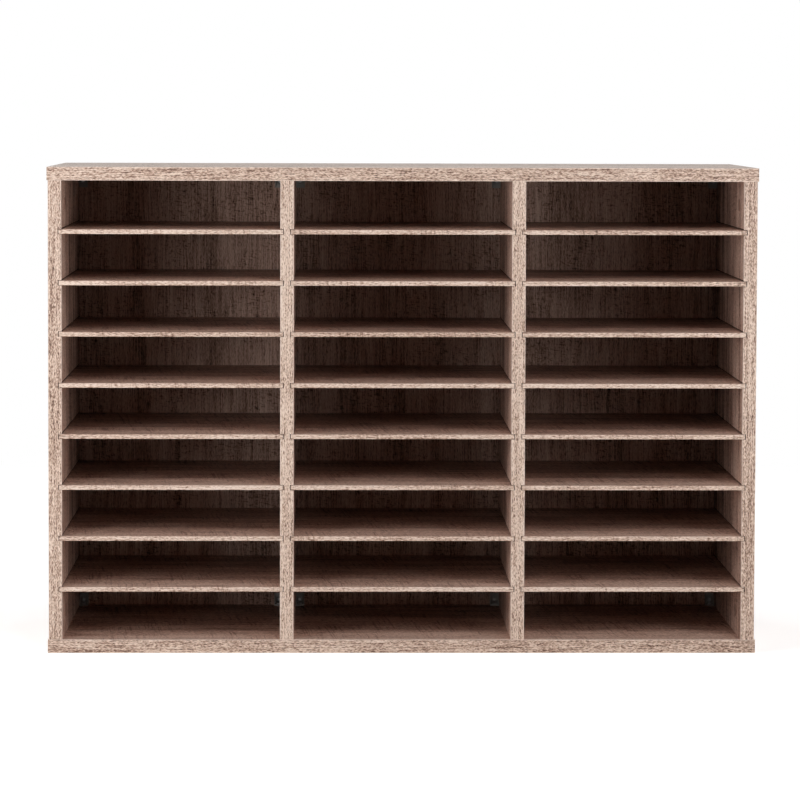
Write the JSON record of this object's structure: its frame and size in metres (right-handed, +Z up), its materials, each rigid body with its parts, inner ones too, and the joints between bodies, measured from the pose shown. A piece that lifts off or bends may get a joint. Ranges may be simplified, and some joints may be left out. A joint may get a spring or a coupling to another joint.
{
  "type": "pigeonhole mail sorter",
  "caption": "Open-fronted pigeonhole mail sorter with thin shelves that slide from the front into grooves in its uprights.",
  "frame": {"origin": "middle of the footprint, on the surface that the sorter stands on", "axes": "+X to the right seen from the front, +Y to the rear, +Z up; the open front faces -Y"},
  "size_m": [0.9982, 0.305, 0.685],
  "materials": {
    "carcass_board": "laminated chipboard with a rough-sawn oak print",
    "edge_band": "oak-print edge band, satin",
    "shelf_board": "thin fibreboard wrapped in a rough-sawn oak print",
    "back_board": "thin fibreboard with an oak print",
    "bracket_plastic": "pale grey moulded plastic",
    "screw_steel": "zinc-plated",
    "cam_zinc": "die-cast zinc",
    "bolt_steel": "zinc-plated",
    "cover_plastic": "cap in the colour of the boards",
    "dowel_beech": "raw beech"
  },
  "bodies": {
    "carcass": {"bottom_end_bands": "edge_band", "bottom_front_band": "edge_band", "bottom_panel": "carcass_board", "bracket_screws": "screw_steel", "cam_bolts": "bolt_steel", "cam_covers": "cover_plastic", "cam_locks": "cam_zinc", "centre_back_panel": "back_board", "centre_bay_bottom_left_bracket": "bracket_plastic", "centre_bay_bottom_right_bracket": "bracket_plastic", "centre_bay_top_left_bracket": "bracket_plastic", "centre_bay_top_right_bracket": "bracket_plastic", "dowels": "dowel_beech", "left_back_panel": "back_board", "left_bay_bottom_left_bracket": "bracket_plastic", "left_bay_bottom_right_bracket": "bracket_plastic", "left_bay_top_left_bracket": "bracket_plastic", "left_bay_top_right_bracket": "bracket_plastic", "left_divider": "carcass_board", "left_divider_band": "edge_band", "left_side_band": "edge_band", "left_side_panel": "carcass_board", "right_back_panel": "back_board", "right_bay_bottom_left_bracket": "bracket_plastic", "right_bay_bottom_right_bracket": "bracket_plastic", "right_bay_top_left_bracket": "bracket_plastic", "right_bay_top_right_bracket": "bracket_plastic", "right_divider": "carcass_board", "right_divider_band": "edge_band", "right_side_band": "edge_band", "right_side_panel": "carcass_board", "top_end_bands": "edge_band", "top_front_band": "edge_band", "top_panel": "carcass_board"},
    "centre_shelf_1": {"centre_shelf_1": "shelf_board"},
    "centre_shelf_2": {"centre_shelf_2": "shelf_board"},
    "centre_shelf_3": {"centre_shelf_3": "shelf_board"},
    "centre_shelf_4": {"centre_shelf_4": "shelf_board"},
    "centre_shelf_5": {"centre_shelf_5": "shelf_board"},
    "centre_shelf_6": {"centre_shelf_6": "shelf_board"},
    "centre_shelf_7": {"centre_shelf_7": "shelf_board"},
    "centre_shelf_8": {"centre_shelf_8": "shelf_board"},
    "left_shelf_1": {"left_shelf_1": "shelf_board"},
    "left_shelf_2": {"left_shelf_2": "shelf_board"},
    "left_shelf_3": {"left_shelf_3": "shelf_board"},
    "left_shelf_4": {"left_shelf_4": "shelf_board"},
    "left_shelf_5": {"left_shelf_5": "shelf_board"},
    "left_shelf_6": {"left_shelf_6": "shelf_board"},
    "left_shelf_7": {"left_shelf_7": "shelf_board"},
    "left_shelf_8": {"left_shelf_8": "shelf_board"},
    "right_shelf_1": {"right_shelf_1": "shelf_board"},
    "right_shelf_2": {"right_shelf_2": "shelf_board"},
    "right_shelf_3": {"right_shelf_3": "shelf_board"},
    "right_shelf_4": {"right_shelf_4": "shelf_board"},
    "right_shelf_5": {"right_shelf_5": "shelf_board"},
    "right_shelf_6": {"right_shelf_6": "shelf_board"},
    "right_shelf_7": {"right_shelf_7": "shelf_board"},
    "right_shelf_8": {"right_shelf_8": "shelf_board"}
  },
  "joints": [
    {"name": "centre_shelf_1_slide", "type": "slide", "parent": "carcass", "child": "centre_shelf_1", "axis": [0, -1, 0], "range_m": [0, 0.295]},
    {"name": "centre_shelf_2_slide", "type": "slide", "parent": "carcass", "child": "centre_shelf_2", "axis": [0, -1, 0], "range_m": [0, 0.295]},
    {"name": "centre_shelf_3_slide", "type": "slide", "parent": "carcass", "child": "centre_shelf_3", "axis": [0, -1, 0], "range_m": [0, 0.295]},
    {"name": "centre_shelf_4_slide", "type": "slide", "parent": "carcass", "child": "centre_shelf_4", "axis": [0, -1, 0], "range_m": [0, 0.295]},
    {"name": "centre_shelf_5_slide", "type": "slide", "parent": "carcass", "child": "centre_shelf_5", "axis": [0, -1, 0], "range_m": [0, 0.295]},
    {"name": "centre_shelf_6_slide", "type": "slide", "parent": "carcass", "child": "centre_shelf_6", "axis": [0, -1, 0], "range_m": [0, 0.295]},
    {"name": "centre_shelf_7_slide", "type": "slide", "parent": "carcass", "child": "centre_shelf_7", "axis": [0, -1, 0], "range_m": [0, 0.295]},
    {"name": "centre_shelf_8_slide", "type": "slide", "parent": "carcass", "child": "centre_shelf_8", "axis": [0, -1, 0], "range_m": [0, 0.295]},
    {"name": "left_shelf_1_slide", "type": "slide", "parent": "carcass", "child": "left_shelf_1", "axis": [0, -1, 0], "range_m": [0, 0.295]},
    {"name": "left_shelf_2_slide", "type": "slide", "parent": "carcass", "child": "left_shelf_2", "axis": [0, -1, 0], "range_m": [0, 0.295]},
    {"name": "left_shelf_3_slide", "type": "slide", "parent": "carcass", "child": "left_shelf_3", "axis": [0, -1, 0], "range_m": [0, 0.295]},
    {"name": "left_shelf_4_slide", "type": "slide", "parent": "carcass", "child": "left_shelf_4", "axis": [0, -1, 0], "range_m": [0, 0.295]},
    {"name": "left_shelf_5_slide", "type": "slide", "parent": "carcass", "child": "left_shelf_5", "axis": [0, -1, 0], "range_m": [0, 0.295]},
    {"name": "left_shelf_6_slide", "type": "slide", "parent": "carcass", "child": "left_shelf_6", "axis": [0, -1, 0], "range_m": [0, 0.295]},
    {"name": "left_shelf_7_slide", "type": "slide", "parent": "carcass", "child": "left_shelf_7", "axis": [0, -1, 0], "range_m": [0, 0.295]},
    {"name": "left_shelf_8_slide", "type": "slide", "parent": "carcass", "child": "left_shelf_8", "axis": [0, -1, 0], "range_m": [0, 0.295]},
    {"name": "right_shelf_1_slide", "type": "slide", "parent": "carcass", "child": "right_shelf_1", "axis": [0, -1, 0], "range_m": [0, 0.295]},
    {"name": "right_shelf_2_slide", "type": "slide", "parent": "carcass", "child": "right_shelf_2", "axis": [0, -1, 0], "range_m": [0, 0.295]},
    {"name": "right_shelf_3_slide", "type": "slide", "parent": "carcass", "child": "right_shelf_3", "axis": [0, -1, 0], "range_m": [0, 0.295]},
    {"name": "right_shelf_4_slide", "type": "slide", "parent": "carcass", "child": "right_shelf_4", "axis": [0, -1, 0], "range_m": [0, 0.295]},
    {"name": "right_shelf_5_slide", "type": "slide", "parent": "carcass", "child": "right_shelf_5", "axis": [0, -1, 0], "range_m": [0, 0.295]},
    {"name": "right_shelf_6_slide", "type": "slide", "parent": "carcass", "child": "right_shelf_6", "axis": [0, -1, 0], "range_m": [0, 0.295]},
    {"name": "right_shelf_7_slide", "type": "slide", "parent": "carcass", "child": "right_shelf_7", "axis": [0, -1, 0], "range_m": [0, 0.295]},
    {"name": "right_shelf_8_slide", "type": "slide", "parent": "carcass", "child": "right_shelf_8", "axis": [0, -1, 0], "range_m": [0, 0.295]}
  ]
}
